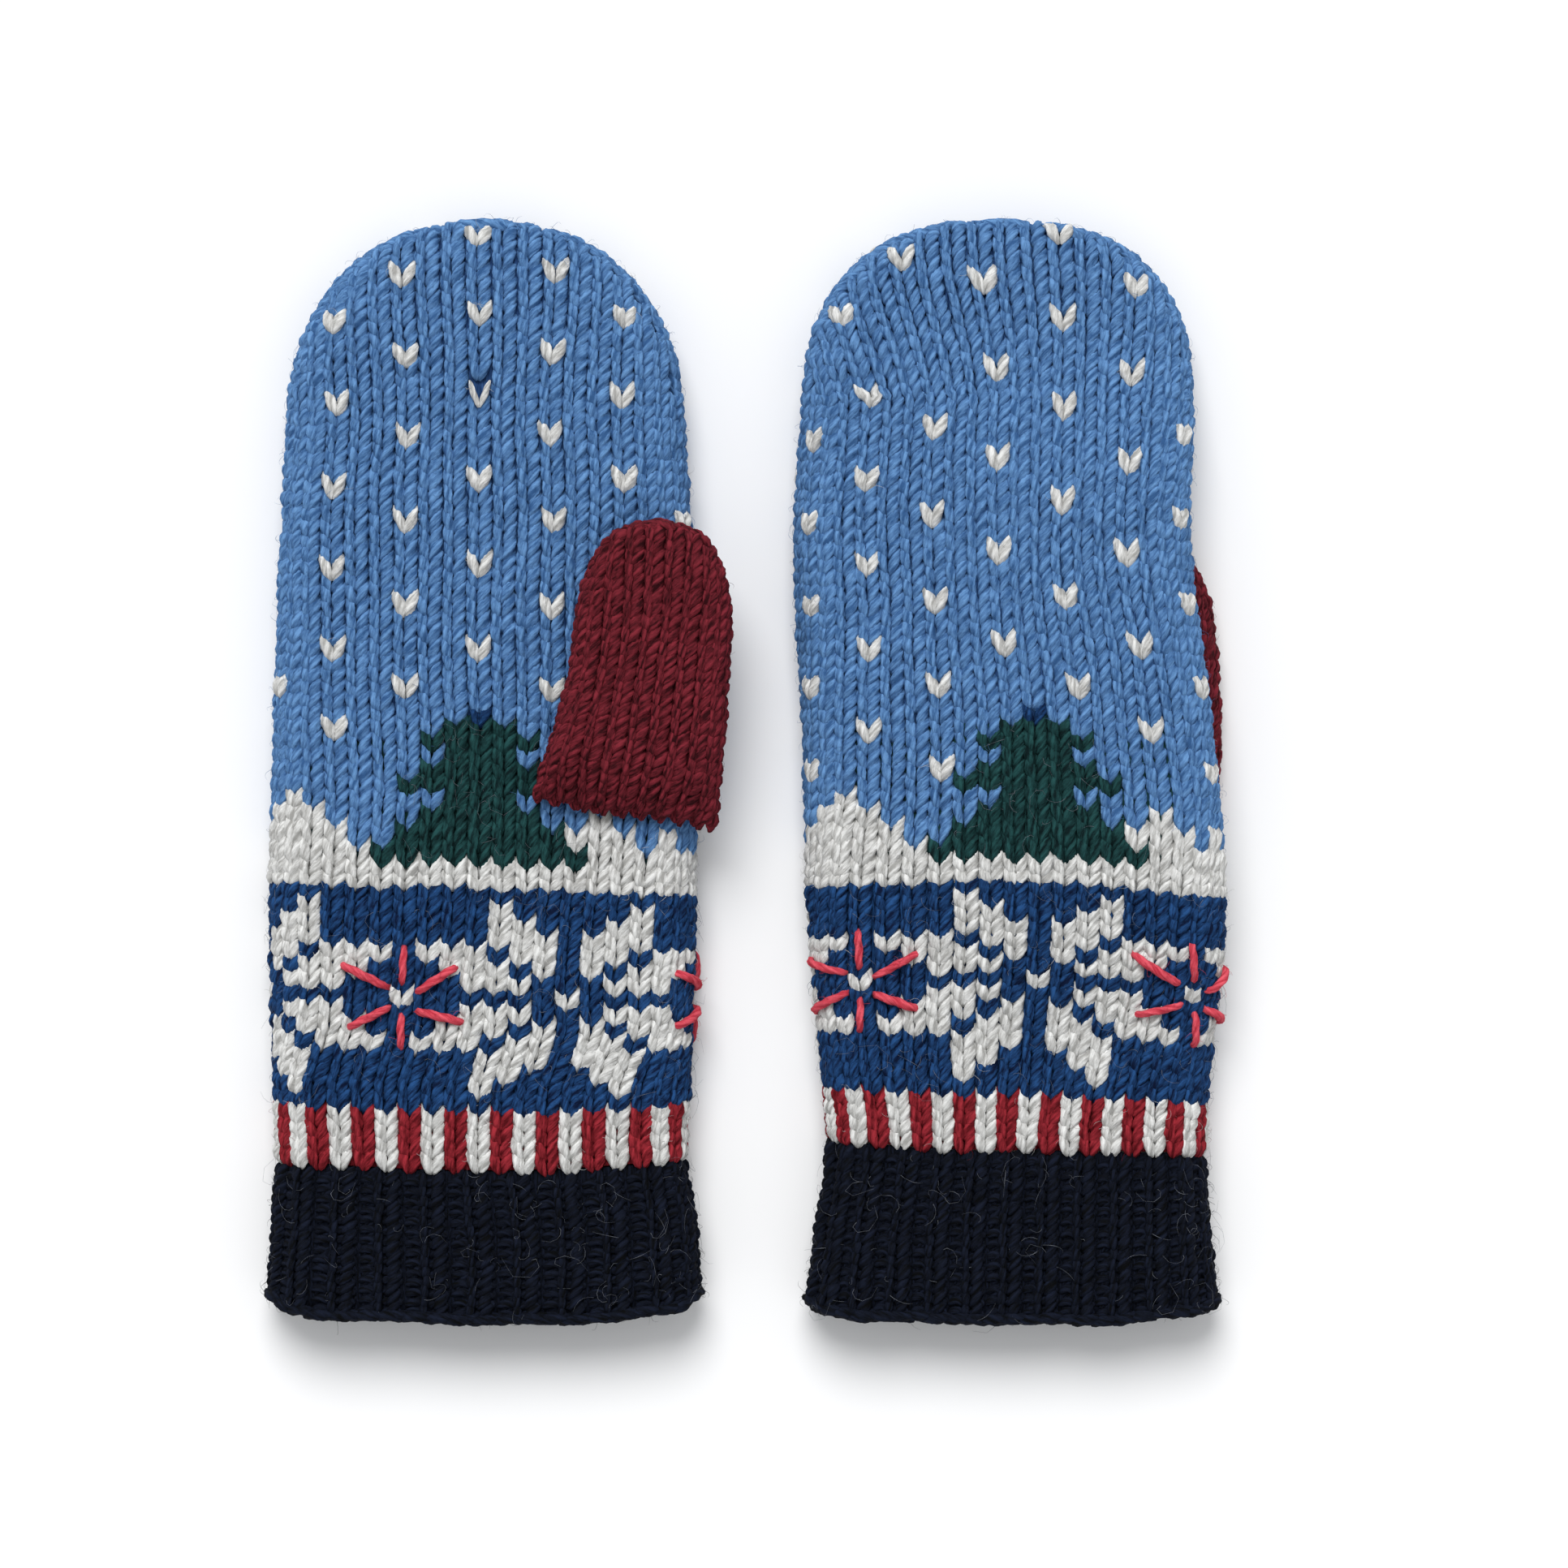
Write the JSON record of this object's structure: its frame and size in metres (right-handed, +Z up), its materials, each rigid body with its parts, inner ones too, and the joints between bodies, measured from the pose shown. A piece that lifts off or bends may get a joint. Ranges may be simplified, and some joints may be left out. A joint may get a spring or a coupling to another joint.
{
  "type": "knitted mittens",
  "caption": "Pair of lined wool mittens with ribbed cuffs, stranded star and fir-tree bands, flecked hands and separate knitted thumbs, lying flat.",
  "frame": {"origin": "centre of the pair's box, on the table", "axes": "+Y from the cuffs to the fingertips, +X to the right as seen from above, +Z up from the table"},
  "size_m": [0.2382, 0.272, 0.0323],
  "materials": {
    "navy_yarn": "plied wool yarn, slightly fuzzy, ribbed",
    "red_yarn": "plied wool yarn, slightly fuzzy",
    "royal_yarn": "plied wool yarn, slightly fuzzy",
    "white_yarn": "natural white plied wool yarn, slightly fuzzy",
    "green_yarn": "plied wool yarn, slightly fuzzy",
    "blue_yarn": "plied wool yarn, slightly fuzzy",
    "burgundy_yarn": "plied wool yarn, slightly fuzzy",
    "coral_yarn": "embroidery wool, matt",
    "fleece": "short soft fleece"
  },
  "bodies": {
    "right_mitten": {"right_cuff": "navy_yarn", "right_stripe_band": "red_yarn", "right_star_band": "royal_yarn", "right_snow_band": "white_yarn", "right_hand": "blue_yarn", "right_lining": "fleece", "right_flower_palm": "coral_yarn", "right_flower_edge": "coral_yarn"},
    "right_thumb": {"right_thumb": "burgundy_yarn", "right_thumb_lining": "fleece"},
    "left_mitten": {"left_cuff": "navy_yarn", "left_stripe_band": "red_yarn", "left_star_band": "royal_yarn", "left_snow_band": "white_yarn", "left_hand": "blue_yarn", "left_lining": "fleece", "left_flower_inner": "coral_yarn", "left_flower_outer": "coral_yarn"},
    "left_thumb": {"left_thumb": "burgundy_yarn", "left_thumb_lining": "fleece"}
  },
  "joints": [
    {"name": "right_thumb_fold", "type": "hinge", "parent": "right_mitten", "child": "right_thumb", "pos_m": [-0.0296, -0.01497, 0.0203], "axis": [1, 0, 0], "range_deg": [0, 80]},
    {"name": "left_mitten_lift", "type": "slide", "parent": "right_mitten", "child": "left_mitten", "axis": [0, 0, 1], "range_m": [0, 0.15]},
    {"name": "left_thumb_swing", "type": "hinge", "parent": "left_mitten", "child": "left_thumb", "pos_m": [0.1062, -0.01497, 0.006], "axis": [0, 0, -1], "range_deg": [0, 35]}
  ]
}
